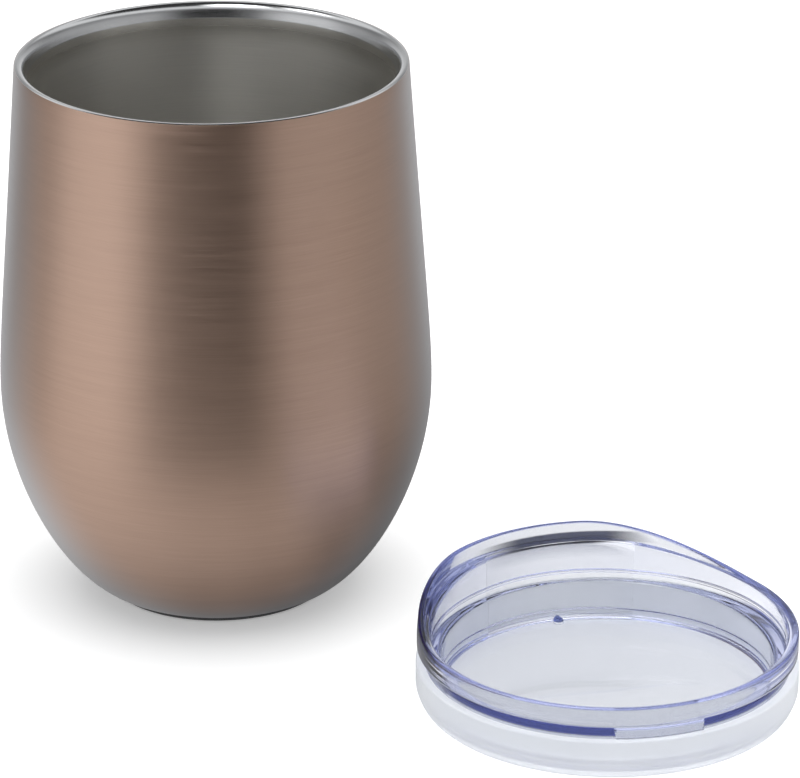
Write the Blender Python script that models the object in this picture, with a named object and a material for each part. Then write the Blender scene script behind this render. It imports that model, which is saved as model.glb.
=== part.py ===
"""Insulated stemless tumbler with its press-in lid lying beside it.

Lengths are in metres and +Z is up.  The origin is the centre of the tumbler's base, on the
surface that it stands on.  The lid stands on the same surface, in front and to the right.
"""

import math

import bmesh
import bpy

MM = 0.001

# Driving dimensions of the tumbler
HEIGHT = 110.3 * MM
BELLY_RADIUS = 43.15 * MM
BELLY_HEIGHT = 44.0 * MM
MOUTH_RADIUS = 38.7 * MM
FOOT_RADIUS = 21.0 * MM
FOOT_HEIGHT = 0.6 * MM
SHEET = 0.6 * MM
LINER_SHEET = 0.5 * MM
WALL = 4.0 * MM
LINER_FLOOR = 8.6 * MM
LINER_MOUTH_RADIUS = 36.1 * MM
BEVEL_DEPTH = 3.3 * MM
LIP_OUTER_RADIUS = 38.6 * MM
LIP_DEPTH = 1.1 * MM
FOIL = 0.2 * MM
CLEARANCE = 0.35 * MM

# Driving dimensions of the base
PAD_RADIUS = 22.4 * MM
PAD_THICKNESS = 1.0 * MM
COVER_RADIUS = 23.6 * MM
COVER_SHEET = 0.5 * MM
PAN_RADIUS = 24.4 * MM
PAN_HEIGHT = 2.7 * MM
PAN_SHEET = 0.6 * MM
DIMPLE_RADIUS = 5.0 * MM
DIMPLE_RISE = 1.6 * MM
VACUUM_HOLE_RADIUS = 1.0 * MM
BEAD_RADIUS = 3.6 * MM
GETTER_PLACE = 13.0 * MM
GETTER_RADIUS = 4.0 * MM
GETTER_THICKNESS = 1.6 * MM
CLIP_SHEET = 0.3 * MM

# Driving dimensions of the lid
LID_PLACE = (76.7 * MM, -57.0 * MM, 0.0)
RIM_RADIUS = 36.7 * MM
RIM_HEIGHT = 15.0 * MM
FLANGE_UNDERSIDE = 11.0 * MM
PLUG_RADIUS = 35.1 * MM
PLUG_BOTTOM = 1.1 * MM
SEAL_BEAD_STEP = 0.4 * MM
BOWL_RADIUS = 32.0 * MM
BOWL_FLOOR = 2.5 * MM
BOWL_EDGE = 9.6 * MM
LEDGE_HEIGHT = 10.1 * MM
CREST_AZIMUTH = 120.0
CREST_RISE = 6.6 * MM
CREST_PLATEAU = 22.0
CREST_END = 86.0
CREST_LEAN = 0.12
SLOT_AZIMUTH = 106.0
SLOT_HALF_ANGLE = 27.0
SLOT_RADIUS = 34.05 * MM
SLOT_WIDTH = 0.9 * MM
SLOT_END_WIDTH = 0.1 * MM
NECK_STEP = 0.3 * MM
TAB_AZIMUTH = 284.0
TAB_HALF_ANGLE = 14.0
TAB_RADIUS = 36.4 * MM
TAB_BOTTOM = 8.5 * MM
VENT_RADIUS = 1.0 * MM
VENT_PLACE = 30.7 * MM
VENT_AZIMUTH = 106.0
SEAL_RADIUS = 36.9 * MM
SEAL_TOP = 8.1 * MM
SEAL_TAPER = 3.5 * MM
SEAL_FOOT_RADII = (34.45 * MM, 35.0 * MM)

BODY_STEPS = 48
SMALL_STEPS = 24
LID_STEPS = 72
SLOT_STEPS = 14
CURVE_STEPS = 7


def clear_scene():
    for thing in list(bpy.data.objects):
        bpy.data.objects.remove(thing, do_unlink=True)


def make_material(name, color, roughness, metallic=0.0, transmission=0.0):
    material = bpy.data.materials.new(name)
    material.use_nodes = True
    shader = material.node_tree.nodes["Principled BSDF"]
    shader.inputs["Base Color"].default_value = (*color, 1.0)
    shader.inputs["Roughness"].default_value = roughness
    shader.inputs["Metallic"].default_value = metallic
    shader.inputs["Transmission Weight"].default_value = transmission
    return material


def add_object(name, bm, material, parent=None):
    """Turn a bmesh into a named, smooth-shaded object."""
    bmesh.ops.recalc_face_normals(bm, faces=bm.faces[:])
    mesh = bpy.data.meshes.new(name)
    bm.to_mesh(mesh)
    bm.free()
    mesh.shade_smooth()
    mesh.set_sharp_from_angle(angle=math.radians(35))
    mesh.materials.append(material)
    thing = bpy.data.objects.new(name, mesh)
    bpy.context.scene.collection.objects.link(thing)
    thing.parent = parent
    return thing


def bezier(start, start_handle, end_handle, end, steps=CURVE_STEPS):
    """Points of a cubic curve, from start up to but not including end."""
    points = []
    for i in range(steps):
        t = i / steps
        weights = ((1 - t) ** 3, 3 * t * (1 - t) ** 2, 3 * t * t * (1 - t), t**3)
        corners = (start, start_handle, end_handle, end)
        points.append(tuple(sum(w * c[k] for w, c in zip(weights, corners)) for k in (0, 1)))
    return points


def arc(center, radius, first, last, steps):
    """Points on a circle in the (r, z) plane, between two angles in degrees."""
    angles = [math.radians(first + (last - first) * i / steps) for i in range(steps + 1)]
    return [(center[0] + radius * math.cos(a), center[1] + radius * math.sin(a)) for a in angles]


def offset(points, distance):
    """Move a run of (r, z) points sideways, to the left of its direction of travel."""
    moved = []
    for i, (r, z) in enumerate(points):
        before = points[max(i - 1, 0)]
        after = points[min(i + 1, len(points) - 1)]
        dr, dz = after[0] - before[0], after[1] - before[1]
        length = math.hypot(dr, dz)
        moved.append((r - distance * dz / length, z + distance * dr / length))
    return moved


def turned(name, outline, material, steps=BODY_STEPS, parent=None):
    """Spin a closed (r, z) outline a full turn around the Z axis."""
    bm = bmesh.new()
    corners = [bm.verts.new((r, 0.0, z)) for r, z in outline]
    edges = [bm.edges.new((a, b)) for a, b in zip(corners, corners[1:])]
    if outline[0][0] > 0.0:
        edges.append(bm.edges.new((corners[-1], corners[0])))
    bmesh.ops.spin(
        bm,
        geom=corners + edges,
        cent=(0.0, 0.0, 0.0),
        axis=(0.0, 0.0, 1.0),
        angle=math.tau,
        steps=steps,
        use_merge=True,
    )
    bmesh.ops.remove_doubles(bm, verts=bm.verts[:], dist=0.001 * MM)
    return add_object(name, bm, material, parent)


def cutter(name, bm, parent=None):
    """A helper shape for a Boolean, left out of the finished model."""
    thing = add_object(name, bm, make_material(name, (1.0, 0.0, 0.0), 0.5), parent)
    thing.hide_render = True
    thing.display_type = "WIRE"
    return thing


def cut(thing, tool):
    modifier = thing.modifiers.new(tool.name, "BOOLEAN")
    modifier.operation = "DIFFERENCE"
    modifier.solver = "EXACT"
    modifier.object = tool


def body_curve():
    """The tumbler's outer curve, from the foot up to the mouth."""
    foot = (FOOT_RADIUS, FOOT_HEIGHT)
    belly = (BELLY_RADIUS, BELLY_HEIGHT)
    mouth = (MOUTH_RADIUS, HEIGHT - LIP_DEPTH - CLEARANCE)
    foot_handle = (FOOT_RADIUS + 8.0 * MM, FOOT_HEIGHT)
    belly_under = (BELLY_RADIUS, BELLY_HEIGHT - 23.0 * MM)
    belly_over = (BELLY_RADIUS, BELLY_HEIGHT + 9.0 * MM)
    mouth_handle = (MOUTH_RADIUS + 3.3 * MM, HEIGHT - 47.0 * MM)
    lower = bezier(foot, foot_handle, belly_under, belly)
    upper = bezier(belly, belly_over, mouth_handle, mouth)
    return lower + upper + [mouth]


def make_outer_shell(material):
    curve = [point for point in body_curve() if point[0] > COVER_RADIUS]
    return turned("outer_shell", curve + offset(curve, SHEET)[::-1], material)


def liner_curve():
    """The liner's wet side, from the centre of the floor up to the foot of the mouth bevel."""
    belly = (BELLY_RADIUS - WALL, BELLY_HEIGHT + 2.0 * MM)
    mouth = (LINER_MOUTH_RADIUS, HEIGHT - BEVEL_DEPTH)
    corner = (14.0 * MM, LINER_FLOOR)
    lower = bezier(corner, (27.0 * MM, LINER_FLOOR), (belly[0], belly[1] - 22.0 * MM), belly)
    upper = bezier(belly, (belly[0], belly[1] + 14.0 * MM), (mouth[0], mouth[1] - 30.0 * MM), mouth)
    return [(0.0, LINER_FLOOR)] + lower + upper + [mouth]


def make_inner_liner(material):
    wet = liner_curve()
    lip_radius = LIP_DEPTH / 2
    lip_center = (LIP_OUTER_RADIUS - lip_radius, HEIGHT - lip_radius)
    lip = arc(lip_center, lip_radius, 135.0, -90.0, 5)
    dry = offset(wet, -LINER_SHEET)
    dry[0] = (0.0, dry[0][1])
    neck = (LINER_MOUTH_RADIUS + LINER_SHEET + 0.5 * MM, HEIGHT - LIP_DEPTH - 0.5 * MM)
    return turned("inner_liner", wet + lip + [neck] + dry[::-1], material)


def make_radiation_foil(material):
    """Thin copper sheet wrapped around the dry side of the liner, below its mouth."""
    wet = [point for point in liner_curve() if point[1] < HEIGHT - 12.0 * MM]
    inside = offset(wet, -(LINER_SHEET + CLEARANCE))
    outside = offset(wet, -(LINER_SHEET + CLEARANCE + FOIL))
    inside[0] = (0.0, inside[0][1])
    outside[0] = (0.0, outside[0][1])
    return turned("radiation_foil", inside + outside[::-1], material)


def make_vacuum_pan(material):
    """Pan that closes the shell's base, with a raised dimple around the evacuation hole."""
    under = [
        (VACUUM_HOLE_RADIUS, PAN_HEIGHT + DIMPLE_RISE),
        (DIMPLE_RADIUS - 0.8 * MM, PAN_HEIGHT + DIMPLE_RISE),
        (DIMPLE_RADIUS, PAN_HEIGHT),
        (PAN_RADIUS - 1.0 * MM, PAN_HEIGHT),
        (PAN_RADIUS, PAN_HEIGHT + 1.0 * MM),
        (PAN_RADIUS, PAN_HEIGHT + 2.2 * MM),
    ]
    over = offset(under, PAN_SHEET)
    over[0] = (VACUUM_HOLE_RADIUS, under[0][1] + PAN_SHEET)
    over[-1] = (PAN_RADIUS - PAN_SHEET, under[-1][1])
    return turned("vacuum_pan", under + over[::-1], material)


def make_seal_bead(material):
    """Drop of braze that closes the evacuation hole, sitting in the dimple."""
    top = PAN_HEIGHT + DIMPLE_RISE - CLEARANCE
    bottom = PAN_HEIGHT + 0.2 * MM
    edge = (BEAD_RADIUS, (top + bottom) / 2)
    outline = [(0.0, bottom), (BEAD_RADIUS * 0.7, bottom + 0.15 * MM), edge]
    outline += [(BEAD_RADIUS * 0.85, top), (0.0, top)]
    return turned("seal_bead", outline, material, SMALL_STEPS)


def make_getter(pill_material, clip_material):
    """Getter pill and the spring clip that holds it over the pan."""
    floor = PAN_HEIGHT + PAN_SHEET + CLEARANCE
    seat = bpy.data.objects.new("getter_seat", None)
    seat.location = (GETTER_PLACE, 0.0, floor)
    bpy.context.scene.collection.objects.link(seat)
    inner = GETTER_RADIUS + CLEARANCE
    pill_floor = CLIP_SHEET + CLEARANCE
    pill_top = pill_floor + GETTER_THICKNESS
    bevel = 0.3 * MM
    pill = [
        (0.0, pill_floor),
        (GETTER_RADIUS - bevel, pill_floor),
        (GETTER_RADIUS, pill_floor + bevel),
        (GETTER_RADIUS, pill_top - bevel),
        (GETTER_RADIUS - bevel, pill_top),
        (0.0, pill_top),
    ]
    clip = [
        (0.0, 0.0),
        (inner + CLIP_SHEET, 0.0),
        (inner + CLIP_SHEET, pill_floor + 1.0 * MM),
        (inner, pill_floor + 1.0 * MM),
        (inner, CLIP_SHEET),
        (0.0, CLIP_SHEET),
    ]
    turned("getter_pill", pill, pill_material, SMALL_STEPS, seat)
    turned("getter_clip", clip, clip_material, SMALL_STEPS, seat)


def make_base_cover(material):
    """Polished disc pressed over the pan, with its edge rolled up."""
    under = PAD_THICKNESS + CLEARANCE - 0.05 * MM
    outline = [
        (0.0, under),
        (COVER_RADIUS - 0.5 * MM, under),
        (COVER_RADIUS - 0.1 * MM, under + 0.2 * MM),
        (COVER_RADIUS - 0.1 * MM, under + COVER_SHEET),
        (0.0, under + COVER_SHEET),
    ]
    return turned("base_cover", outline, material)


def make_base_pad(material):
    """Non-slip pad that the tumbler stands on."""
    outline = [
        (0.0, 0.0),
        (PAD_RADIUS - 0.5 * MM, 0.0),
        (PAD_RADIUS, 0.4 * MM),
        (PAD_RADIUS, PAD_THICKNESS),
        (0.0, PAD_THICKNESS),
    ]
    return turned("base_pad", outline, material)


def crest_share(azimuth):
    """How much of the drinking crest's full rise the rim has at an azimuth: 0 to 1."""
    away = abs((azimuth - CREST_AZIMUTH + 180.0) % 360.0 - 180.0)
    t = (away - CREST_PLATEAU) / (CREST_END - CREST_PLATEAU)
    t = min(max(t, 0.0), 1.0)
    return 1.0 - t * t * (3.0 - 2.0 * t)


def tab_share(azimuth):
    """1 on the tab that fills the neck under the flange, 0 away from it, with short ramps."""
    away = abs((azimuth - TAB_AZIMUTH + 180.0) % 360.0 - 180.0)
    return min(max(TAB_HALF_ANGLE + 0.5 - away, 0.0), 1.0)


def lid_section(azimuth):
    """(r, z) points of the lid's cross-section, from the underside round to the bowl floor."""
    share = crest_share(azimuth)
    rise = CREST_RISE * share
    top = RIM_HEIGHT + rise
    face = RIM_RADIUS - CREST_LEAN * rise
    tab = tab_share(azimuth)
    neck = PLUG_RADIUS + NECK_STEP + (TAB_RADIUS - PLUG_RADIUS - NECK_STEP) * tab
    neck_foot = FLANGE_UNDERSIDE - NECK_STEP
    neck_foot += (TAB_BOTTOM - neck_foot) * tab
    bead = PLUG_RADIUS + SEAL_BEAD_STEP
    lip_radius = face - 0.95 * MM
    shelf_outer = (35.2 * MM - 0.4 * MM * share, 14.6 * MM + 3.8 * MM * share)
    shelf_inner = (34.7 * MM - 1.7 * MM * share, 14.4 * MM + 3.4 * MM * share)
    ledge = 34.3 * MM - 1.1 * MM * share
    return [
        (PLUG_RADIUS - 0.35 * MM, PLUG_BOTTOM),
        (bead, PLUG_BOTTOM + 0.75 * MM),
        (bead, PLUG_BOTTOM + 1.6 * MM),
        (PLUG_RADIUS, PLUG_BOTTOM + 2.0 * MM),
        (PLUG_RADIUS, neck_foot),
        (neck, neck_foot),
        (neck, FLANGE_UNDERSIDE),
        (RIM_RADIUS - 0.2 * MM, FLANGE_UNDERSIDE),
        (RIM_RADIUS, FLANGE_UNDERSIDE + 0.2 * MM),
        (RIM_RADIUS, RIM_HEIGHT - 1.2 * MM),
        (face, top - 0.4 * MM),
        (face - 0.12 * MM, top - 0.1 * MM),
        (face - 0.4 * MM, top),
        (lip_radius + 0.25 * MM, top - 0.08 * MM),
        (lip_radius - 0.05 * MM * share, top - 0.2 * MM),
        shelf_outer,
        (shelf_inner[0] + 0.2 * MM, shelf_inner[1] + 0.05 * MM),
        (shelf_inner[0], shelf_inner[1] - 0.3 * MM),
        (ledge, LEDGE_HEIGHT + 0.3 * MM),
        (ledge - 0.3 * MM, LEDGE_HEIGHT - 0.05 * MM),
        (BOWL_RADIUS + 0.5 * MM, BOWL_EDGE + 0.1 * MM),
        (BOWL_RADIUS, BOWL_EDGE - 0.7 * MM),
        (BOWL_RADIUS, BOWL_FLOOR + 1.3 * MM),
        (BOWL_RADIUS - 0.35 * MM, BOWL_FLOOR + 0.4 * MM),
        (BOWL_RADIUS - 1.1 * MM, BOWL_FLOOR),
    ]


def make_ring(bm, section, azimuth):
    turn = math.radians(azimuth)
    return [bm.verts.new((r * math.cos(turn), r * math.sin(turn), z)) for r, z in section]


def lid_azimuths():
    """Even steps around the lid, with a step on each side of the tab's two ends."""
    azimuths = {360.0 * i / LID_STEPS for i in range(LID_STEPS)}
    for side in (-1.0, 1.0):
        end = TAB_AZIMUTH + TAB_HALF_ANGLE * side
        azimuths |= {end - 0.5, end + 0.5}
    return sorted(azimuths)


def lofted_lid():
    """The lid's solid: neighbouring cross-sections joined, and the floor closed by two discs."""
    bm = bmesh.new()
    azimuths = lid_azimuths()
    rings = [make_ring(bm, lid_section(azimuth), azimuth) for azimuth in azimuths]
    for ring, following in zip(rings, rings[1:] + rings[:1]):
        for i in range(len(ring) - 1):
            bm.faces.new((ring[i], following[i], following[i + 1], ring[i + 1]))
    for place in (0, -1):
        edge = [ring[place] for ring in rings]
        center = bm.verts.new((0.0, 0.0, edge[0].co.z))
        for first, second in zip(edge, edge[1:] + edge[:1]):
            bm.faces.new((center, first, second))
    return bm


def slot_cutter():
    """Lens-shaped bar that opens the sip slot straight down through the crest's shelf."""
    bm = bmesh.new()
    outer, inner = [], []
    for i in range(SLOT_STEPS + 1):
        across = 2.0 * i / SLOT_STEPS - 1.0
        turn = math.radians(SLOT_AZIMUTH + SLOT_HALF_ANGLE * across)
        width = SLOT_END_WIDTH + (SLOT_WIDTH - SLOT_END_WIDTH) * math.cos(across * math.pi / 2) ** 0.8
        for side, r in ((outer, SLOT_RADIUS + width / 2), (inner, SLOT_RADIUS - width / 2)):
            side.append((r * math.cos(turn), r * math.sin(turn)))
    outline = outer + inner[::-1]
    low, high = -1.0 * MM, RIM_HEIGHT + CREST_RISE + 2.0 * MM
    bottom, top = ([bm.verts.new((x, y, z)) for x, y in outline] for z in (low, high))
    for i in range(len(outline)):
        bm.faces.new((bottom[i - 1], bottom[i], top[i], top[i - 1]))
    bm.faces.new(bottom)
    bm.faces.new(top)
    return bm


def vent_cutter():
    """Small upright cylinder at the edge of the bowl's floor."""
    bm = bmesh.new()
    bmesh.ops.create_cone(
        bm,
        cap_ends=True,
        segments=16,
        radius1=VENT_RADIUS,
        radius2=VENT_RADIUS,
        depth=2.0 * (BOWL_FLOOR + 1.0 * MM),
    )
    turn = math.radians(VENT_AZIMUTH)
    place = (VENT_PLACE * math.cos(turn), VENT_PLACE * math.sin(turn), 0.0)
    bmesh.ops.translate(bm, verts=bm.verts[:], vec=place)
    return bm


def make_lid_body(material, axis):
    lid = add_object("lid_body", lofted_lid(), material, axis)
    cut(lid, cutter("slot_cutter", slot_cutter(), axis))
    cut(lid, cutter("vent_cutter", vent_cutter(), axis))


def make_lid_seal(material, axis):
    """Silicone sleeve stretched over the plug, tapering to a narrow foot."""
    inner = PLUG_RADIUS + CLEARANCE
    bead = inner + SEAL_BEAD_STEP
    foot_inner, foot_outer = SEAL_FOOT_RADII
    outline = [
        (foot_inner, 0.0),
        (foot_outer, 0.0),
        (foot_outer + 0.9 * MM, 0.75 * MM),
        (SEAL_RADIUS - 0.35 * MM, 2.0 * MM),
        (SEAL_RADIUS, SEAL_TAPER),
        (SEAL_RADIUS, SEAL_TOP - 0.4 * MM),
        (SEAL_RADIUS - 0.4 * MM, SEAL_TOP),
        (inner, SEAL_TOP),
        (inner, PLUG_BOTTOM + 2.25 * MM),
        (bead, PLUG_BOTTOM + 1.8 * MM),
        (bead, PLUG_BOTTOM + 0.6 * MM),
        (PLUG_RADIUS - 0.25 * MM, PLUG_BOTTOM - 0.3 * MM),
        (foot_inner, PLUG_BOTTOM - 0.35 * MM),
    ]
    turned("lid_seal", outline, material, LID_STEPS, axis)


def make_tumbler():
    copper_coat = make_material("copper_coat", (0.42, 0.27, 0.20), 0.32, 1.0)
    steel = make_material("steel", (0.55, 0.55, 0.54), 0.28, 1.0)
    copper = make_material("copper_foil", (0.72, 0.40, 0.26), 0.20, 1.0)
    make_outer_shell(copper_coat)
    make_inner_liner(steel)
    make_radiation_foil(copper)
    make_vacuum_pan(steel)
    make_seal_bead(make_material("braze", (0.60, 0.55, 0.45), 0.45, 1.0))
    make_getter(make_material("getter_alloy", (0.20, 0.20, 0.21), 0.8, 0.6), steel)
    make_base_cover(steel)
    make_base_pad(make_material("base_silicone", (0.06, 0.06, 0.06), 0.7))


def make_lid():
    axis = bpy.data.objects.new("lid_axis", None)
    axis.location = LID_PLACE
    bpy.context.scene.collection.objects.link(axis)
    make_lid_body(make_material("clear_plastic", (0.86, 0.88, 0.97), 0.05, 0.0, 1.0), axis)
    make_lid_seal(make_material("clear_silicone", (0.85, 0.88, 0.90), 0.35, 0.0, 0.6), axis)


clear_scene()
make_tumbler()
make_lid()
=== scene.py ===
"""Looks of the insulated stemless tumbler and of the clear lid that lies beside it."""

import math

import bmesh
import bpy
from mathutils import Matrix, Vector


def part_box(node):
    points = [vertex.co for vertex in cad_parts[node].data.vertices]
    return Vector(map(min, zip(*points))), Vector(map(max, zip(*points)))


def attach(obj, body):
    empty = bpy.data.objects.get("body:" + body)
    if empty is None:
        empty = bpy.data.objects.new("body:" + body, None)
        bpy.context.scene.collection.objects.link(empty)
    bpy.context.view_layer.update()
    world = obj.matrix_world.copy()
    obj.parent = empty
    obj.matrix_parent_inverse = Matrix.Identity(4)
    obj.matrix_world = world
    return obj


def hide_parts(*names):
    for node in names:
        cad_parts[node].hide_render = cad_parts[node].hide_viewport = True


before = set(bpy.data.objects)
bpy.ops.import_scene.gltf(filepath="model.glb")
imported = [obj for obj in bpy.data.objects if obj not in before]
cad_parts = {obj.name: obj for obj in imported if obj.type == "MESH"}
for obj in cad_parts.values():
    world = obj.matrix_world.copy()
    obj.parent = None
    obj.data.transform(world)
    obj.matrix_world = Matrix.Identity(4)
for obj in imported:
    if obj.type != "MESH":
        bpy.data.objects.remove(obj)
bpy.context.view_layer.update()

MM = 0.001


# ---------------------------------------------------------------- sizes, read from the frame
def half_width(node):
    low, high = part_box(node)
    return (high.x - low.x) / 2


def middle(node):
    low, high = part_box(node)
    return (low.x + high.x) / 2, (low.y + high.y) / 2


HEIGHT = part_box("inner_liner")[1].z
BELLY = half_width("outer_shell")
BELLY_HEIGHT = 44.0 * MM
FOOT = (21.0 * MM, 0.6 * MM)
MOUTH = 38.7 * MM
PAD_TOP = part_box("base_pad")[1].z
PAD = half_width("base_pad")
COVER_LOW, COVER_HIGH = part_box("base_cover")
COVER = half_width("base_cover")
SHEET = 0.6 * MM
LINER_SHEET = 0.5 * MM
LINER_FLOOR = 8.6 * MM
LINER_MOUTH = 36.1 * MM
BEVEL_FOOT = HEIGHT - 3.0 * MM
LIP_FOOT = HEIGHT - 3.2 * MM
LIP_FOOT_ROUGHNESS = 0.25

LID_X, LID_Y = middle("lid_seal")
SEAL = half_width("lid_seal")
SEAL_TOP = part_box("lid_seal")[1].z
RIM = half_width("lid_body")
RIM_HEIGHT = 15.0 * MM
CREST_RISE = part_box("lid_body")[1].z - RIM_HEIGHT
FLANGE_UNDERSIDE = 11.0 * MM
PLUG = 35.1 * MM
PLUG_BOTTOM = 1.1 * MM
BOWL = 32.0 * MM
BOWL_FLOOR = 2.5 * MM
BOWL_EDGE = 9.6 * MM
LEDGE_TOP = 10.1 * MM
CREST_AZIMUTH = 120.0
CREST_PLATEAU = 22.0
CREST_END = 86.0
CREST_LEAN = 0.12
SLOT_AZIMUTH = 106.0
SLOT_HALF_ANGLE = 27.0
SLOT_RADIUS = 34.05 * MM
SLOT_WIDTH = 0.9 * MM
SLOT_END_WIDTH = 0.1 * MM
SLOT_END_COSINES = (0.888, 0.889)
NECK_STEP = 0.3 * MM
BEAD_STEP = 0.4 * MM
SHELF_LOW = 17.5 * MM
SEAL_FOOT = 34.45 * MM
TAB = 36.4 * MM
TAB_BOTTOM = 8.5 * MM
TAB_AZIMUTH = 284.0
TAB_HALF_ANGLE = 14.0
VENT = 1.0 * MM
VENT_PLACE = 30.7 * MM
VENT_AZIMUTH = 106.0


# ---------------------------------------------------------------- curves in the (r, z) plane
def bezier(start, start_handle, end_handle, end, steps):
    """Points of a cubic curve, from start up to but not including end."""
    points = []
    for i in range(steps):
        t = i / steps
        weights = ((1 - t) ** 3, 3 * t * (1 - t) ** 2, 3 * t * t * (1 - t), t**3)
        corners = (start, start_handle, end_handle, end)
        points.append(tuple(sum(w * c[k] for w, c in zip(weights, corners)) for k in (0, 1)))
    return points


def rounded(corners, steps=6):
    """Round each corner of a polyline: (r, z, reach) or (r, z, reach before it, reach after it)."""
    points = []
    for i, (r, z, *reaches) in enumerate(corners):
        if reaches[0] == 0.0:
            points.append((r, z))
            continue
        ends = []
        for (other_r, other_z, *_), reach in zip((corners[i - 1], corners[i + 1]), (reaches[0], reaches[-1])):
            length = math.hypot(other_r - r, other_z - z)
            share = min(reach / length, 0.49)
            ends.append((r + (other_r - r) * share, z + (other_z - z) * share))
        for k in range(steps + 1):
            t = k / steps
            weights = ((1 - t) ** 2, 2 * t * (1 - t), t * t)
            bends = (ends[0], (r, z), ends[1])
            points.append(tuple(sum(w * bend[j] for w, bend in zip(weights, bends)) for j in (0, 1)))
    return points


def smooth_run(points, steps):
    """Extra points along a smooth curve through the given ones."""
    padded = [points[0]] + points + [points[-1]]
    run = []
    for p0, p1, p2, p3 in zip(padded, padded[1:], padded[2:], padded[3:]):
        for k in range(steps):
            t = k / steps
            weights = (
                (-t + 2 * t * t - t**3) / 2,
                (2 - 5 * t * t + 3 * t**3) / 2,
                (t + 4 * t * t - 3 * t**3) / 2,
                (-t * t + t**3) / 2,
            )
            run.append(tuple(sum(w * p[j] for w, p in zip(weights, (p0, p1, p2, p3))) for j in (0, 1)))
    return run + [points[-1]]


def offset(points, distance):
    """Move a run of (r, z) points sideways, to the left of its direction of travel."""
    moved = []
    for i, (r, z) in enumerate(points):
        before = points[max(i - 1, 0)]
        after = points[min(i + 1, len(points) - 1)]
        dr, dz = after[0] - before[0], after[1] - before[1]
        length = math.hypot(dr, dz)
        moved.append((r - distance * dz / length, z + distance * dr / length))
    return moved


# ---------------------------------------------------------------- meshes
def add_object(name, bm, sharp=40.0, place=(0.0, 0.0, 0.0)):
    bmesh.ops.recalc_face_normals(bm, faces=bm.faces[:])
    mesh = bpy.data.meshes.new(name)
    bm.to_mesh(mesh)
    bm.free()
    mesh.shade_smooth()
    mesh.set_sharp_from_angle(angle=math.radians(sharp))
    thing = bpy.data.objects.new(name, mesh)
    thing.location = place
    bpy.context.scene.collection.objects.link(thing)
    return thing


def lofted(section_at, azimuths):
    """A closed band through the cross-sections at the given azimuths, in degrees."""
    bm = bmesh.new()
    rings = []
    for azimuth in azimuths:
        turn = math.radians(azimuth)
        section = section_at(azimuth)
        rings.append([bm.verts.new((r * math.cos(turn), r * math.sin(turn), z)) for r, z in section])
    for ring, following in zip(rings, rings[1:] + rings[:1]):
        for i in range(len(ring) - 1):
            bm.faces.new((ring[i], following[i], following[i + 1], ring[i + 1]))
    return bm, rings


def close_at_axis(bm, rings, place):
    edge = [ring[place] for ring in rings]
    center = bm.verts.new((0.0, 0.0, edge[0].co.z))
    for first, second in zip(edge, edge[1:] + edge[:1]):
        bm.faces.new((center, first, second))


def turned(name, outline, steps=256, sharp=40.0, place=(0.0, 0.0, 0.0), looped=False):
    """Turn an outline around Z. A looped outline joins its ends; any other is closed at the axis."""
    if looped:
        outline = outline + outline[:1]
    bm, rings = lofted(lambda azimuth: outline, [360.0 * i / steps for i in range(steps)])
    if looped:
        bmesh.ops.remove_doubles(bm, verts=bm.verts[:], dist=0.001 * MM)
    else:
        close_at_axis(bm, rings, 0)
        close_at_axis(bm, rings, -1)
    return add_object(name, bm, sharp, place)


def apply_modifiers(thing, sharp=40.0):
    """Keep what the modifiers make as the object's own mesh."""
    graph = bpy.context.evaluated_depsgraph_get()
    mesh = bpy.data.meshes.new_from_object(thing.evaluated_get(graph))
    thing.modifiers.clear()
    thing.data = mesh
    mesh.shade_smooth()
    mesh.set_sharp_from_angle(angle=math.radians(sharp))


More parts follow.
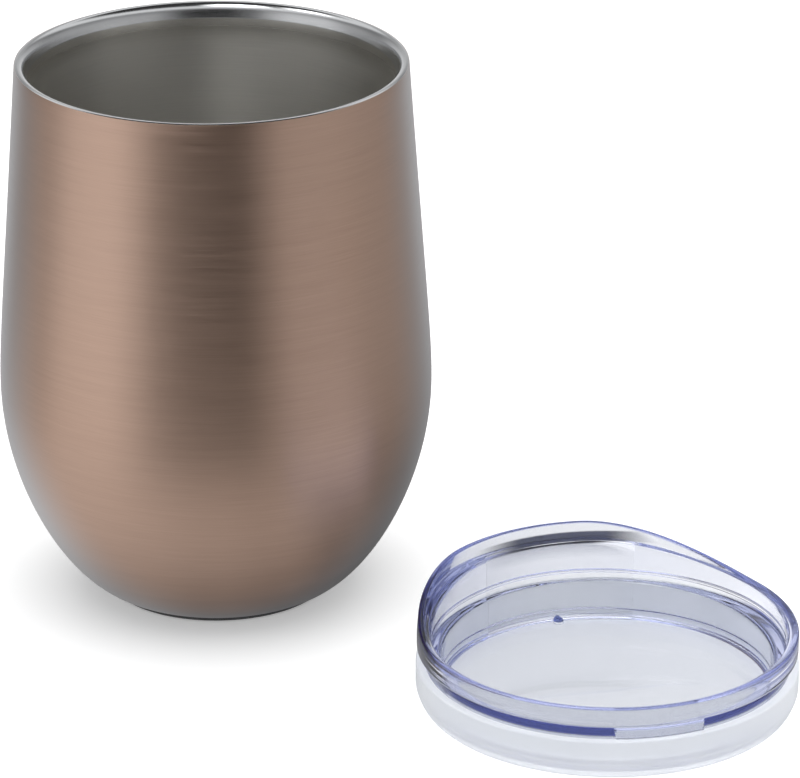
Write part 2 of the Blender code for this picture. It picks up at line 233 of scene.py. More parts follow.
# ---------------------------------------------------------------- material helpers
class Nodes:
    """A material's node tree, with short calls that add and join nodes."""

    def __init__(self, name):
        self.material = bpy.data.materials.new(name)
        self.material.use_nodes = True
        self.tree = self.material.node_tree
        self.shader = self.tree.nodes["Principled BSDF"]
        self.output = self.tree.nodes["Material Output"]
        self.place = self.add("ShaderNodeTexCoord").outputs["Object"]

    def add(self, kind, **settings):
        node = self.tree.nodes.new(kind)
        for key, value in settings.items():
            setattr(node, key, value)
        return node

    def feed(self, socket, value):
        if isinstance(value, bpy.types.NodeSocket):
            self.tree.links.new(value, socket)
        else:
            socket.default_value = value

    def set(self, **values):
        """Set the shader's own sockets by name, with _ for a space."""
        for key, value in values.items():
            self.feed(self.shader.inputs[key.replace("_", " ")], value)

    def scaled(self, scale, shift=(0.0, 0.0, 0.0)):
        node = self.add("ShaderNodeMapping")
        self.feed(node.inputs["Vector"], self.place)
        node.inputs["Scale"].default_value = scale
        node.inputs["Location"].default_value = shift
        return node.outputs["Vector"]

    def noise(self, scale, size=1.0, detail=3.0, roughness=0.5, shift=(0.0, 0.0, 0.0)):
        node = self.add("ShaderNodeTexNoise")
        self.feed(node.inputs["Vector"], self.scaled(scale, shift))
        node.inputs["Scale"].default_value = size
        node.inputs["Detail"].default_value = detail
        node.inputs["Roughness"].default_value = roughness
        return node.outputs["Fac"]

    def axes(self):
        """The piece's own x, y and z at the shaded point."""
        node = self.add("ShaderNodeSeparateXYZ")
        self.feed(node.inputs[0], self.place)
        return node.outputs

    def math(self, operation, a, b=0.0):
        node = self.add("ShaderNodeMath", operation=operation)
        self.feed(node.inputs[0], a)
        self.feed(node.inputs[1], b)
        return node.outputs[0]

    def product(self, first, *others):
        for other in others:
            first = self.math("MULTIPLY", first, other)
        return first

    def weighted(self, first, first_weight, second, second_weight):
        return self.math("ADD", self.product(first, first_weight), self.product(second, second_weight))

    def remap(self, value, low, high, to_low, to_high, smooth=False):
        node = self.add("ShaderNodeMapRange", interpolation_type="SMOOTHSTEP" if smooth else "LINEAR")
        for socket, amount in zip(node.inputs[:5], (value, low, high, to_low, to_high)):
            self.feed(socket, amount)
        return node.outputs[0]

    def band(self, value, low, high, soft):
        """1 between low and high, with a smooth fall to 0 on both sides."""
        rising = self.remap(value, low - soft, low + soft, 0.0, 1.0, smooth=True)
        falling = self.remap(value, high - soft, high + soft, 1.0, 0.0, smooth=True)
        return self.product(rising, falling)

    def blend(self, share, a, b):
        node = self.add("ShaderNodeMix", data_type="RGBA")
        self.feed(node.inputs[0], share)
        self.feed(node.inputs[6], a)
        self.feed(node.inputs[7], b)
        return node.outputs[2]

    def length(self, vector):
        node = self.add("ShaderNodeVectorMath", operation="LENGTH")
        self.feed(node.inputs[0], vector)
        return node.outputs["Value"]

    def bump(self, height, distance, strength=1.0):
        node = self.add("ShaderNodeBump")
        self.feed(node.inputs["Height"], height)
        node.inputs["Distance"].default_value = distance
        node.inputs["Strength"].default_value = strength
        self.feed(self.shader.inputs["Normal"], node.outputs["Normal"])

    def brushed_around(self, amount):
        """Stretch the highlights along Z, as brushing around the Z axis does."""
        tangent = self.add("ShaderNodeTangent", direction_type="RADIAL", axis="Z")
        self.feed(self.shader.inputs["Tangent"], tangent.outputs["Tangent"])
        self.set(Anisotropic=amount, Anisotropic_Rotation=0.25)

    def clear_for_lamps(self, tint):
        """Let tinted light through to what lies behind or under the piece."""
        path = self.add("ShaderNodeLightPath")
        clear = self.add("ShaderNodeBsdfTransparent")
        clear.inputs["Color"].default_value = tint
        mix = self.add("ShaderNodeMixShader")
        self.feed(mix.inputs[0], path.outputs["Is Shadow Ray"])
        self.feed(mix.inputs[1], self.shader.outputs["BSDF"])
        self.feed(mix.inputs[2], clear.outputs["BSDF"])
        self.feed(self.output.inputs["Surface"], mix.outputs["Shader"])


# ---------------------------------------------------------------- materials
def brushed_copper():
    """Copper-coloured coating over steel that was brushed around its axis.

    Its base colour turns up to nine tenths grey towards glancing angles, a painted sheen that was fitted to
    the photo. That makes the colour depend on where the camera stands, and it is more than a clear coat's
    gloss would give.
    """
    m = Nodes("brushed_copper")
    fine = m.noise((90.0, 90.0, 5200.0), detail=4.0, roughness=0.62)
    broad = m.noise((28.0, 28.0, 900.0), detail=3.0, shift=(3.0, 1.0, 7.0))
    cloud = m.noise((22.0, 22.0, 14.0), detail=2.0, shift=(9.0, 4.0, 2.0))
    streak = m.weighted(fine, 0.65, broad, 0.35)
    tone = m.remap(streak, 0.34, 0.66, 0.0, 1.0)
    color = m.blend(tone, (0.524, 0.355, 0.274, 1.0), (0.598, 0.412, 0.323, 1.0))
    color = m.blend(m.remap(cloud, 0.35, 0.7, 0.0, 0.35), color, (0.552, 0.402, 0.335, 1.0))
    # Painted sheen: towards the outline the base colour turns grey, standing in for the coat's grey
    # reflection.
    glancing = m.add("ShaderNodeLayerWeight")
    glancing.inputs["Blend"].default_value = 0.5
    painted_sheen = m.remap(glancing.outputs["Facing"], 0.42, 0.88, 0.0, 0.9, smooth=True)
    m.set(Base_Color=m.blend(painted_sheen, color, (0.60, 0.60, 0.62, 1.0)), Metallic=1.0)
    m.set(Roughness=m.remap(streak, 0.3, 0.7, 0.34, 0.44))
    m.set(Coat_Weight=0.12, Coat_Roughness=0.38, Coat_IOR=1.5)
    m.brushed_around(0.72)
    m.bump(streak, 0.012 * MM, 0.35)
    return m.material


def satin_steel(name, color, roughness, anisotropy=0.5, polished_from=None):
    """Bare stainless with fine turning marks around its axis, and smoother above a height if one is given."""
    m = Nodes(name)
    fine = m.noise((60.0, 60.0, 3600.0), detail=4.0, roughness=0.6)
    cloud = m.noise((35.0, 35.0, 35.0), detail=2.0)
    dark = tuple(c * 0.94 for c in color)
    m.set(Base_Color=m.blend(m.remap(fine, 0.3, 0.7, 0.0, 1.0), (*dark, 1.0), (*color, 1.0)), Metallic=1.0)
    wear = m.weighted(fine, 0.7, cloud, 0.3)
    rough = m.remap(wear, 0.3, 0.7, roughness - 0.05, roughness + 0.06)
    if polished_from:
        polish = m.remap(m.axes()[2], polished_from, LIP_FOOT, 0.0, 1.0, smooth=True)
        rough = m.remap(polish, 0.0, 1.0, rough, LIP_FOOT_ROUGHNESS)
    m.set(Roughness=rough)
    m.brushed_around(anisotropy)
    m.bump(fine, 0.01 * MM, 0.3)
    return m.material


def polished_lip():
    """Steel that is smoother towards the lip's top."""
    m = Nodes("polished_lip")
    fine = m.noise((120.0, 120.0, 2400.0), detail=3.0)
    m.set(Base_Color=m.blend(fine, (0.60, 0.61, 0.63, 1.0), (0.68, 0.69, 0.70, 1.0)), Metallic=1.0)
    polish = m.remap(m.axes()[2], LIP_FOOT, HEIGHT - 0.8 * MM, 0.0, 1.0)
    m.set(Roughness=m.remap(polish, 0.0, 1.0, LIP_FOOT_ROUGHNESS, m.remap(fine, 0.3, 0.7, 0.13, 0.19)))
    m.bump(fine, 0.004 * MM, 0.25)
    return m.material


def lid_painted_light_and_shade(m):
    """Zones of the lid, each 0 to 1, and the colour painted there: painted shade, painted reflections and
    painted light.

    They were fitted to the photo's dark and violet areas, most of which the plain clear material doesn't show
    by itself. They stay where they are when the light or the view changes.
    """
    x, y, z = m.axes()
    r = m.math("SQRT", m.math("ADD", m.product(x, x), m.product(y, y)))

    def cosine_to(azimuth):
        turn = math.radians(azimuth)
        return m.math("DIVIDE", m.math("ADD", m.product(x, math.cos(turn)), m.product(y, math.sin(turn))), r)

    def facing(azimuth, low, high):
        """0 to 1 as the cosine of the angle to an azimuth goes from low to high."""
        return m.remap(cosine_to(azimuth), low, high, 0.0, 1.0, smooth=True)

    # The half of the lid away from the crest is painted lighter: painted light. The same mask keeps the
    # neck's painted shade to that half.
    low_side = facing(CREST_AZIMUTH + 180.0, -0.35, 0.05)
    # The bowl's floor is painted darker: painted shade.
    floor = m.product(
        m.remap(z, BOWL_FLOOR + 0.1 * MM, BOWL_FLOOR + 0.5 * MM, 1.0, 0.0),
        m.remap(r, BOWL - 1.4 * MM, BOWL - 0.4 * MM, 1.0, 0.0),
    )
    # A near-black violet band round the neck, on the low side: painted shade.
    neck = m.product(
        m.band(r, PLUG - 0.3 * MM, PLUG + 0.6 * MM, 0.1 * MM),
        m.band(z, TAB_BOTTOM, FLANGE_UNDERSIDE - 0.4 * MM, 0.25 * MM),
        low_side,
    )
    turned_away = m.math("ARCCOSINE", cosine_to(CREST_AZIMUTH))
    plateau, end = math.radians(CREST_PLATEAU), math.radians(CREST_END)
    rim_top = m.remap(turned_away, plateau, end, RIM_HEIGHT + CREST_RISE, RIM_HEIGHT, smooth=True)
    # A dark violet line along the rim's top: painted shade over the violet that the plastic's absorption
    # gives by itself.
    rim_edge = m.product(
        m.remap(m.math("SUBTRACT", rim_top, z), 0.25 * MM, 0.55 * MM, 1.0, 0.0, smooth=True),
        m.remap(r, PLUG - 0.2 * MM, PLUG, 0.0, 1.0),
    )
    crest = facing(SLOT_AZIMUTH - 3.0, math.cos(math.radians(36.0)), math.cos(math.radians(14.0)))
    # A near-black lens under the crest's top: a painted dark reflection.
    shelf = m.product(
        m.band(r, SLOT_RADIUS - 1.3 * MM, PLUG, 0.1 * MM),
        m.band(z, SHELF_LOW, SHELF_LOW + 2.1 * MM, 0.2 * MM),
        crest,
    )
    # A dark grey band that fades downwards below the lens: painted shade.
    below_shelf = m.product(
        m.band(r, SLOT_RADIUS - 1.3 * MM, SLOT_RADIUS - 0.75 * MM, 0.05 * MM),
        m.remap(z, SHELF_LOW - 2.9 * MM, SHELF_LOW - 0.1 * MM, 0.0, 0.75),
        m.remap(z, SHELF_LOW - 0.1 * MM, SHELF_LOW + 0.1 * MM, 1.0, 0.0),
        crest,
    )
    # The slot's walls are painted clear white, which hides the grey shade they would show: painted light.
    in_slot = m.product(
        m.band(r, SLOT_RADIUS - 0.6 * MM, SLOT_RADIUS + 0.55 * MM, 0.05 * MM),
        m.band(z, PLUG_BOTTOM + 0.2 * MM, SHELF_LOW + 0.1 * MM, 0.1 * MM),
        facing(SLOT_AZIMUTH, *SLOT_END_COSINES),
    )
    # The vent hole's wall is painted dark blue: painted shade.
    turn = math.radians(VENT_AZIMUTH)
    to_vent = m.scaled((1.0, 1.0, 0.0), (-VENT_PLACE * math.cos(turn), -VENT_PLACE * math.sin(turn), 0.0))
    in_vent = m.remap(m.length(to_vent), VENT * 1.02, VENT * 1.06, 1.0, 0.0)
    return (
        (low_side, (0.79, 0.798, 0.806)),
        (floor, (0.635, 0.650, 0.662)),
        (neck, (0.01, 0.015, 0.13)),
        (rim_edge, (0.24, 0.27, 0.52)),
        (shelf, (0.006, 0.007, 0.014)),
        (below_shelf, (0.16, 0.17, 0.21)),
        (in_slot, (1.0, 1.0, 1.0)),
        (in_vent, (0.05, 0.07, 0.25)),
    )


def clear_plastic():
    """Thick clear moulding, with painted shade and reflections where the photo's lid looks dark or violet."""
    m = Nodes("clear_plastic")
    haze = m.noise((300.0, 300.0, 300.0), detail=3.0)
    flow = m.noise((45.0, 45.0, 70.0), detail=2.0, shift=(2.0, 5.0, 1.0))
    color = m.blend(haze, (0.675, 0.684, 0.695, 1.0), (0.70, 0.709, 0.72, 1.0))
    # Paint each zone's shade, reflection or light into the plastic's colour.
    for zone, tint in lid_painted_light_and_shade(m):
        color = m.blend(zone, color, (*tint, 1.0))
    m.set(Base_Color=color)
    m.set(Roughness=m.remap(haze, 0.35, 0.7, 0.012, 0.035), Transmission_Weight=1.0, IOR=1.53)
    m.bump(flow, 0.006 * MM, 0.25)
    volume = m.add("ShaderNodeVolumeAbsorption")
    volume.inputs["Color"].default_value = (0.30, 0.38, 0.80, 1.0)
    volume.inputs["Density"].default_value = 55.0
    m.feed(m.output.inputs["Volume"], volume.outputs["Volume"])
    m.clear_for_lamps((0.955, 0.96, 0.975, 1.0))
    return m.material


def clear_silicone():
    """Milky translucent rubber."""
    m = Nodes("clear_silicone")
    cloud = m.noise((90.0, 90.0, 90.0), detail=3.0)
    grain = m.noise((1500.0, 1500.0, 1500.0), detail=2.0)
    m.set(Base_Color=m.blend(cloud, (0.71, 0.735, 0.77, 1.0), (0.77, 0.79, 0.82, 1.0)))
    m.set(Roughness=m.remap(grain, 0.3, 0.7, 0.30, 0.40), Transmission_Weight=0.55, IOR=1.41)
    m.bump(grain, 0.006 * MM, 0.3)
    m.clear_for_lamps((0.93, 0.935, 0.945, 1.0))
    return m.material


def dark_silicone():
    """Matt black rubber with a fine grain."""
    m = Nodes("dark_silicone")
    grain = m.noise((1800.0, 1800.0, 1800.0), detail=3.0)
    m.set(Base_Color=m.blend(grain, (0.035, 0.035, 0.037, 1.0), (0.07, 0.07, 0.073, 1.0)))
    m.set(Roughness=m.remap(grain, 0.3, 0.7, 0.6, 0.78))
    m.bump(grain, 0.03 * MM, 0.5)
    return m.material


def crinkled_foil():
    """Thin bright copper sheet, creased all over."""
    m = Nodes("crinkled_foil")
    crease = m.noise((160.0, 160.0, 160.0), detail=5.0, roughness=0.65)
    m.set(Base_Color=m.blend(crease, (0.72, 0.36, 0.22, 1.0), (0.86, 0.50, 0.34, 1.0)), Metallic=1.0)
    m.set(Roughness=m.remap(crease, 0.3, 0.7, 0.16, 0.3))
    m.bump(crease, 0.15 * MM, 0.6)
    return m.material


def grainy_metal(name, dark, light, metallic, roughness):
    """Cast or sintered metal with a fine grain."""
    m = Nodes(name)
    grain = m.noise((2500.0, 2500.0, 2500.0), detail=4.0)
    m.set(Base_Color=m.blend(grain, (*dark, 1.0), (*light, 1.0)), Metallic=metallic)
    m.set(Roughness=m.remap(grain, 0.3, 0.7, roughness - 0.08, roughness + 0.08))
    m.bump(grain, 0.02 * MM, 0.5)
    return m.material


# ---------------------------------------------------------------- tumbler
# visible_diffuse is off on the shell, liner, lid and seal, so the floor gets no bounced light or soft shade
# from them, only the lamp's shadow.
def shell_curve(steps):
    """The tumbler's outer curve, from the foot up to the mouth."""
    belly = (BELLY, BELLY_HEIGHT)
    mouth = (MOUTH, HEIGHT - 0.4 * MM)
    lower = bezier(FOOT, (FOOT[0] + 8.0 * MM, FOOT[1]), (BELLY, BELLY_HEIGHT - 23.0 * MM), belly, steps)
    handles = ((BELLY, BELLY_HEIGHT + 9.0 * MM), (MOUTH + 3.3 * MM, HEIGHT - 47.0 * MM))
    return lower + bezier(belly, *handles, mouth, steps) + [mouth, (MOUTH - 0.08 * MM, HEIGHT - 0.12 * MM)]


def make_shell():
    curve = [point for point in shell_curve(48) if point[0] > COVER]
    inside = offset(curve, SHEET)[::-1]
    shell = turned("shell", curve + inside, looped=True)
    shell.data.materials.append(brushed_copper())
    shell.visible_diffuse = False
    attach(shell, "tumbler")
    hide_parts("outer_shell")


def liner_curve(steps):
    """The liner's wet side, from the edge of its flat floor up to the foot of the mouth bevel."""
    belly = (BELLY - 4.0 * MM, BELLY_HEIGHT + 2.0 * MM)
    neck = (LINER_MOUTH, BEVEL_FOOT)
    floor_handle = (27.0 * MM, LINER_FLOOR)
    lower = bezier((14.0 * MM, LINER_FLOOR), floor_handle, (belly[0], 24.0 * MM), belly, steps)
    upper = bezier(belly, (belly[0], 60.0 * MM), (LINER_MOUTH, 77.0 * MM), neck, steps)
    return lower + upper


def make_liner():
    wet = liner_curve(40)
    lip = [
        (LINER_MOUTH + 0.55 * MM, HEIGHT - 1.15 * MM),
        (LINER_MOUTH + 1.15 * MM, HEIGHT - 0.25 * MM),
        (MOUTH - 0.8 * MM, HEIGHT),
        (MOUTH - 0.4 * MM, HEIGHT - 0.02 * MM),
        (MOUTH - 0.15 * MM, HEIGHT - 0.14 * MM),
        (MOUTH - 0.3 * MM, HEIGHT - 0.4 * MM),
        (MOUTH - 0.8 * MM, HEIGHT - 0.9 * MM),
    ]
    lip = smooth_run([(LINER_MOUTH, BEVEL_FOOT)] + lip[:5], 5) + lip[5:]
    dry = offset(wet, -LINER_SHEET)
    outline = wet + lip + dry[::-1]
    liner = turned("liner", outline)
    fade = HEIGHT - 9.0 * MM
    steel = satin_steel("satin_steel", (0.70, 0.688, 0.655), 0.40, anisotropy=0.8, polished_from=fade)
    liner.data.materials.append(steel)
    liner.data.materials.append(polished_lip())
    for face in liner.data.polygons:
        on_lip = face.center.z > LIP_FOOT and face.center.xy.length > LINER_MOUTH - 0.1 * MM
        face.material_index = int(on_lip)
    liner.visible_diffuse = False
    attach(liner, "tumbler")
    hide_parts("inner_liner")


def make_base():
    """The foot pad, slightly hollow underneath, and the steel disc above it."""
    floor = 0.15 * MM
    pad_outline = rounded(
        [
            (PAD * 0.2, floor, 0.0),
            (PAD * 0.55, floor, 0.1 * MM),
            (PAD * 0.6, 0.0, 0.1 * MM),
            (PAD, 0.0, 0.35 * MM),
            (PAD, PAD_TOP, 0.25 * MM),
            (PAD * 0.5, PAD_TOP, 0.0),
        ]
    )
    pad = turned("foot_pad", pad_outline, 192)
    pad.data.materials.append(dark_silicone())
    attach(pad, "tumbler")
    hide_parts("base_pad")
    low, high = COVER_LOW.z, COVER_HIGH.z
    cover_outline = rounded(
        [
            (COVER * 0.5, low, 0.0),
            (COVER, low, 0.3 * MM),
            (COVER, high, 0.15 * MM),
            (COVER * 0.5, high, 0.0),
        ]
    )
    cover = turned("foot_cover", cover_outline, 192)
    cover.data.materials.append(satin_steel("foot_steel", (0.58, 0.57, 0.56), 0.3))
    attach(cover, "tumbler")
    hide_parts("base_cover")


def finish_hidden_nodes():
    """Give the CAD nodes inside the walls their own materials."""
    pressed = satin_steel("pressed_steel", (0.54, 0.53, 0.52), 0.34)
    finishes = {
        "radiation_foil": crinkled_foil(),
        "vacuum_pan": pressed,
        "getter_clip": pressed,
        "getter_pill": grainy_metal("getter_alloy", (0.06, 0.06, 0.065), (0.14, 0.14, 0.15), 0.6, 0.7),
        "seal_bead": grainy_metal("braze", (0.42, 0.36, 0.26), (0.62, 0.56, 0.42), 1.0, 0.42),
    }
    for node, material in finishes.items():
        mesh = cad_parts[node].data
        mesh.materials.clear()
        mesh.materials.append(material)


# ---------------------------------------------------------------- lid
def crest_share(azimuth):
    """How much of the drinking crest's full rise the rim has at an azimuth: 0 to 1."""
    away = abs((azimuth - CREST_AZIMUTH + 180.0) % 360.0 - 180.0)
    t = (away - CREST_PLATEAU) / (CREST_END - CREST_PLATEAU)
    t = min(max(t, 0.0), 1.0)
    return 1.0 - t * t * (3.0 - 2.0 * t)


def tab_share(azimuth):
    """1 on the tab that fills the neck under the flange, 0 away from it, with short ramps."""
    away = abs((azimuth - TAB_AZIMUTH + 180.0) % 360.0 - 180.0)
    return min(max(TAB_HALF_ANGLE + 0.5 - away, 0.0), 1.0)


def lid_section(azimuth):
    """The lid's cross-section, from the underside round to the bowl's floor."""
    share = crest_share(azimuth)
    rise = CREST_RISE * share
    top = RIM_HEIGHT + rise
    face = RIM - CREST_LEAN * rise
    tab = tab_share(azimuth)
    neck = PLUG + NECK_STEP + (TAB - PLUG - NECK_STEP) * tab
    neck_foot = FLANGE_UNDERSIDE - NECK_STEP
    neck_foot += (TAB_BOTTOM - neck_foot) * tab
    bead = PLUG + BEAD_STEP
    shelf_in = (34.7 * MM - 1.7 * MM * share, 14.4 * MM + 3.4 * MM * share)
    shelf_out = (35.2 * MM - 0.4 * MM * share, 14.6 * MM + 3.8 * MM * share)
    ledge = 34.3 * MM - 1.1 * MM * share
    corners = [
        (PLUG - 2.0 * MM, PLUG_BOTTOM, 0.0),
        (PLUG - 0.35 * MM, PLUG_BOTTOM, 0.2 * MM),
        (bead, PLUG_BOTTOM + 0.75 * MM, 0.2 * MM),
        (bead, PLUG_BOTTOM + 1.6 * MM, 0.2 * MM),
        (PLUG, PLUG_BOTTOM + 2.0 * MM, 0.2 * MM),
        (PLUG, neck_foot, 0.25 * MM),
        (neck, neck_foot, 0.15 * MM),
        (neck, FLANGE_UNDERSIDE, 0.1 * MM),
        (RIM, FLANGE_UNDERSIDE, 0.35 * MM),
        (RIM, RIM_HEIGHT - 1.2 * MM, 1.0 * MM),
        (face, top, 0.5 * MM, 0.45 * MM),
        (face - 0.95 * MM, top - 0.1 * MM, 0.4 * MM),
        (*shelf_out, 0.6 * MM, 0.4 * MM),
        (*shelf_in, 0.9 * MM, 2.2 * MM),
        (ledge, LEDGE_TOP, 0.5 * MM),
        (BOWL, BOWL_EDGE, 0.8 * MM, 1.6 * MM),
        (BOWL, BOWL_FLOOR, 2.0 * MM, 1.4 * MM),
        (BOWL - 4.0 * MM, BOWL_FLOOR, 0.0),
    ]
    return rounded(corners)


def lid_azimuths():
    """Even steps, with more of them where the tab starts and ends."""
    turns = {1.5 * i for i in range(240)}
    for end in (TAB_AZIMUTH - TAB_HALF_ANGLE, TAB_AZIMUTH + TAB_HALF_ANGLE):
        turns |= {end + 0.125 * k for k in range(-5, 6)}
    return sorted(turn % 360.0 for turn in turns)


def slot_cutter():
    """Lens-shaped bar that opens the sip slot straight down through the crest's shelf."""
    bm = bmesh.new()
    outer, inner = [], []
    steps = 60
    for i in range(steps + 1):
        across = 2.0 * i / steps - 1.0
        turn = math.radians(SLOT_AZIMUTH + SLOT_HALF_ANGLE * across)
        width = SLOT_END_WIDTH + (SLOT_WIDTH - SLOT_END_WIDTH) * math.cos(across * math.pi / 2) ** 0.8
        for side, r in ((outer, SLOT_RADIUS + width / 2), (inner, SLOT_RADIUS - width / 2)):
            side.append((r * math.cos(turn), r * math.sin(turn)))
    outline = outer + inner[::-1]
    low, high = -1.0 * MM, RIM_HEIGHT + CREST_RISE + 2.0 * MM
    rows = [[bm.verts.new((x, y, z)) for x, y in outline] for z in (low, high)]
    for i in range(len(outline)):
        k = (i + 1) % len(outline)
        bm.faces.new((rows[0][i], rows[0][k], rows[1][k], rows[1][i]))
    bm.faces.new(rows[0])
    bm.faces.new(rows[1])
    return bm


def vent_cutter():
    """Small upright cylinder at the edge of the bowl's floor."""
    bm = bmesh.new()
    depth = 2.0 * (BOWL_FLOOR + 1.0 * MM)
    bmesh.ops.create_cone(bm, cap_ends=True, segments=32, radius1=VENT, radius2=VENT, depth=depth)
    turn = math.radians(VENT_AZIMUTH)
    place = (VENT_PLACE * math.cos(turn), VENT_PLACE * math.sin(turn), 0.0)
    bmesh.ops.translate(bm, verts=bm.verts[:], vec=place)
    return bm


def make_lid():
    place = (LID_X, LID_Y, 0.0)
    bm, rings = lofted(lid_section, lid_azimuths())
    close_at_axis(bm, rings, 0)
    close_at_axis(bm, rings, -1)
    lid = add_object("lid", bm, place=place)
    cutters = {"slot_tool": slot_cutter(), "vent_tool": vent_cutter()}
    tools = [add_object(name, shape, place=place) for name, shape in cutters.items()]
    for tool in tools:
        cut = lid.modifiers.new(tool.name, "BOOLEAN")
        cut.operation = "DIFFERENCE"
        cut.object = tool
    apply_modifiers(lid)
    for tool in tools:
        bpy.data.objects.remove(tool)
    lid.data.materials.clear()
    lid.data.materials.append(clear_plastic())
    lid.visible_diffuse = False
    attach(lid, "lid")
    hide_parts("lid_body")


def make_seal():
    """Sleeve around the plug, tapering to a narrow foot."""
    inner = PLUG + 0.12 * MM
    bead = inner + BEAD_STEP
    outline = rounded(
        [
            (SEAL_FOOT, 0.5 * MM, 0.0),
            (SEAL_FOOT + 0.05 * MM, 0.0, 0.12 * MM),
            (35.0 * MM, 0.0, 0.3 * MM),
            (35.95 * MM, 0.8 * MM, 0.9 * MM),
            (SEAL - 0.15 * MM, 2.7 * MM, 1.0 * MM),
            (SEAL, 3.5 * MM, 0.3 * MM),
            (SEAL, SEAL_TOP, 0.45 * MM),
            (inner, SEAL_TOP, 0.1 * MM),
            (inner, PLUG_BOTTOM + 2.1 * MM, 0.2 * MM),
            (bead, PLUG_BOTTOM + 1.65 * MM, 0.2 * MM),
            (bead, PLUG_BOTTOM + 0.65 * MM, 0.2 * MM),
            (PLUG - 0.25 * MM, PLUG_BOTTOM - 0.12 * MM, 0.1 * MM),
            (SEAL_FOOT, PLUG_BOTTOM - 0.12 * MM, 0.0),
        ]
    )
    seal = turned("seal", outline, 240, place=(LID_X, LID_Y, 0.0), looped=True)
    seal.data.materials.append(clear_silicone())
    seal.visible_diffuse = False
    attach(seal, "lid")
    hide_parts("lid_seal")


# ---------------------------------------------------------------- studio
def make_floor():
    """Pale paper with a faint glow that fills its shadows. Reflections see the floor sheet in its place."""
    bm = bmesh.new()
    bmesh.ops.create_grid(bm, x_segments=2, y_segments=2, size=4.0)
    floor = add_object("floor", bm, place=(0.0, 0.0, -0.05 * MM))
    m = Nodes("floor_paper")
    grain = m.noise((40.0, 40.0, 40.0), detail=2.0)
    m.set(Base_Color=m.blend(grain, (0.90, 0.90, 0.90, 1.0), (0.92, 0.92, 0.92, 1.0)), Roughness=0.9)
    m.set(Specular_IOR_Level=0.1, Emission_Color=(1.0, 1.0, 1.0, 1.0), Emission_Strength=0.16)
    floor.data.materials.append(m.material)
    floor.visible_glossy = False
    floor.visible_shadow = False


# What shiny surfaces see in place of the floor and the room, fitted to the reflections in the photo: grey
# levels as (azimuth in degrees, level), far from the tumbler, near it, and at its foot.
FAR_LEVELS = (
    (-180.0, 0.85), (-152.0, 0.62), (-124.0, 0.34), (-98.0, 0.48), (-74.0, 0.90), (-50.0, 0.98),
    (-38.0, 0.68), (-26.0, 0.20), (-10.0, 0.015), (4.0, 0.0), (18.0, 0.015), (28.0, 0.28), (40.0, 0.58),
    (66.0, 0.60), (96.0, 0.50), (126.0, 0.40), (152.0, 0.56), (180.0, 0.85),
)
NEAR_LEVELS = (
    (-180.0, 0.66), (-120.0, 0.68), (-70.0, 0.76), (-30.0, 0.72), (0.0, 0.66), (30.0, 0.56), (60.0, 0.30),
    (100.0, 0.20), (150.0, 0.34), (180.0, 0.66),
)
# At the tumbler's foot the levels are darker: a painted shadow of the tumbler, as reflections see it.
FOOT_SHADOW_LEVELS = (
    (-180.0, 0.24), (-90.0, 0.34), (-40.0, 0.30), (0.0, 0.22), (40.0, 0.14), (90.0, 0.10), (180.0, 0.24),
)

# Ceiling, the ring around its edge, the tent's radius and height, and the ceiling's bright patches:
# (place), radius, level
CEILING = (0.04, 0.04, 0.04, 1.0)
RING = (0.92, 0.92, 0.92, 1.0)
TENT = 0.34
TENT_HIGH = 0.42
PATCHES = (
    ((-0.08, -0.22), 0.13, 6.5),
    ((-0.27, -0.04), 0.12, 4.4),
)


def around(m, levels):
    """Grey level that changes with the azimuth around Z, from the front (0 degrees) to the right."""
    x, y, _ = m.axes()
    turn = m.math("ARCTAN2", x, m.product(y, -1.0))
    ramp = m.add("ShaderNodeValToRGB")
    ramp.color_ramp.interpolation = "EASE"
    m.feed(ramp.inputs[0], m.remap(turn, -math.pi, math.pi, 0.0, 1.0))
    stops = ramp.color_ramp.elements
    stops.remove(stops[1])
    stops[0].position = 0.0
    for i, (azimuth, level) in enumerate(levels):
        stop = stops[0] if i == 0 else stops.new((azimuth + 180.0) / 360.0)
        stop.color = (level, level, level, 1.0)
    return ramp.outputs[0]


def only_reflected(name, bm, place, level):
    """Surface that glows at a level. Only shiny surfaces see it, and it lights nothing else."""
    thing = add_object(name, bm, place=place)
    m = Nodes(name)
    glow = m.add("ShaderNodeEmission")
    m.feed(glow.inputs["Color"], level(m))
    m.feed(m.output.inputs["Surface"], glow.outputs["Emission"])
    thing.data.materials.append(m.material)
    thing.visible_camera = False
    thing.visible_diffuse = False
    thing.visible_transmission = False
    thing.visible_shadow = False


def tent_level(m):
    z = m.axes()[2]
    upper = m.remap(z, TENT_HIGH * -0.2, TENT_HIGH * 0.4, 0.0, 1.0, smooth=True)
    level = m.blend(upper, around(m, FAR_LEVELS), CEILING)
    top = m.remap(z, TENT_HIGH * 0.10, TENT_HIGH * 0.34, 0.0, 1.0, smooth=True)
    return m.blend(top, level, RING)


def sheet_level(m):
    away = m.length(m.place)
    near_by = m.remap(away, 0.07, 0.26, 1.0, 0.0)
    # Painted shadow: the sheet turns darker at the tumbler's foot.
    foot_shadow_share = m.remap(away, 0.022, 0.06, 1.0, 0.0, smooth=True)
    level = m.blend(near_by, around(m, FAR_LEVELS), around(m, NEAR_LEVELS))
    return m.blend(foot_shadow_share, level, around(m, FOOT_SHADOW_LEVELS))


def ceiling_level(m):
    """Dark middle, bright edge, and two bright soft patches: above the front and above the left."""
    edge = m.remap(m.length(m.place), 0.20, 0.32, 0.0, 1.0, smooth=True)
    level = m.blend(edge, CEILING, RING)
    for (x, y), reach, glow in PATCHES:
        away = m.length(m.scaled((1.0, 1.0, 1.0), (-x, -y, 0.0)))
        patch = m.remap(away, reach, reach * 0.35, 0.0, 1.0, smooth=True)
        level = m.blend(patch, level, (glow, glow, glow, 1.0))
    return level


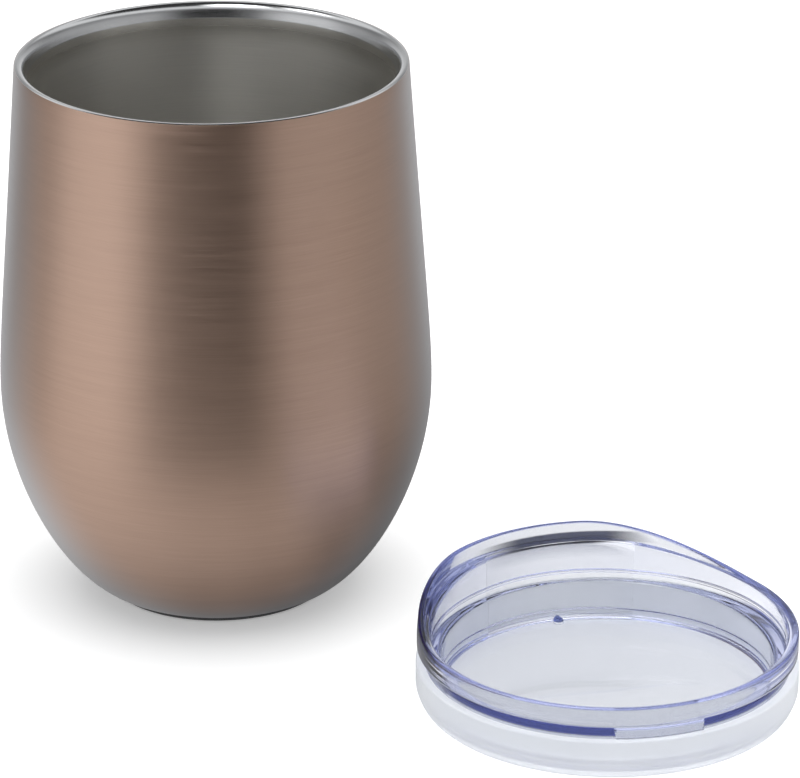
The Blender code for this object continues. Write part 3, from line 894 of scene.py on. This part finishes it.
def make_reflectors():
    """A tent around the set, its ceiling, and a sheet on the floor."""
    bm = bmesh.new()
    bmesh.ops.create_cone(bm, cap_ends=False, segments=128, radius1=TENT, radius2=TENT, depth=TENT_HIGH)
    only_reflected("tent", bm, (0.0, 0.0, TENT_HIGH / 2), tent_level)
    bm = bmesh.new()
    bmesh.ops.create_circle(bm, cap_ends=True, segments=128, radius=TENT)
    only_reflected("ceiling", bm, (0.0, 0.0, TENT_HIGH), ceiling_level)
    bm = bmesh.new()
    bmesh.ops.create_circle(bm, cap_ends=True, segments=128, radius=TENT)
    only_reflected("floor_sheet", bm, (0.0, 0.0, -0.02 * MM), sheet_level)


def make_lamp():
    """Large soft lamp overhead, which isn't seen in reflections."""
    data = bpy.data.lights.new("overhead", "AREA")
    data.shape = "SQUARE"
    data.size = 1.6
    data.energy = 15.0
    lamp = bpy.data.objects.new("overhead", data)
    lamp.location = (0.0, 0.1, 1.3)
    lamp.visible_glossy = False
    bpy.context.scene.collection.objects.link(lamp)


def make_world():
    world = bpy.data.worlds.new("studio")
    world.use_nodes = True
    world.node_tree.nodes["Background"].inputs["Color"].default_value = (0.86, 0.86, 0.865, 1.0)
    bpy.context.scene.world = world


def make_camera():
    """Long lens, seen from the front and looking down 22 degrees."""
    pitch = math.radians(22.13)
    reach = 1.0034
    aim = (0.0368, 0.0, 0.0409)
    data = bpy.data.cameras.new("camera")
    data.lens = 225.0
    data.sensor_width = 36.0
    data.clip_start = 0.05
    camera = bpy.data.objects.new("camera", data)
    camera.location = (aim[0], -reach * math.cos(pitch), aim[2] + reach * math.sin(pitch))
    camera.rotation_euler = (math.pi / 2 - pitch, 0.0, 0.0)
    bpy.context.scene.collection.objects.link(camera)
    bpy.context.scene.camera = camera


make_shell()
make_liner()
make_base()
finish_hidden_nodes()
make_lid()
make_seal()
make_floor()
make_reflectors()
make_lamp()
make_world()
make_camera()
scene = bpy.context.scene
scene.view_settings.view_transform = "Standard"
scene.cycles.max_bounces = 24
scene.cycles.glossy_bounces = 16
scene.cycles.transmission_bounces = 24
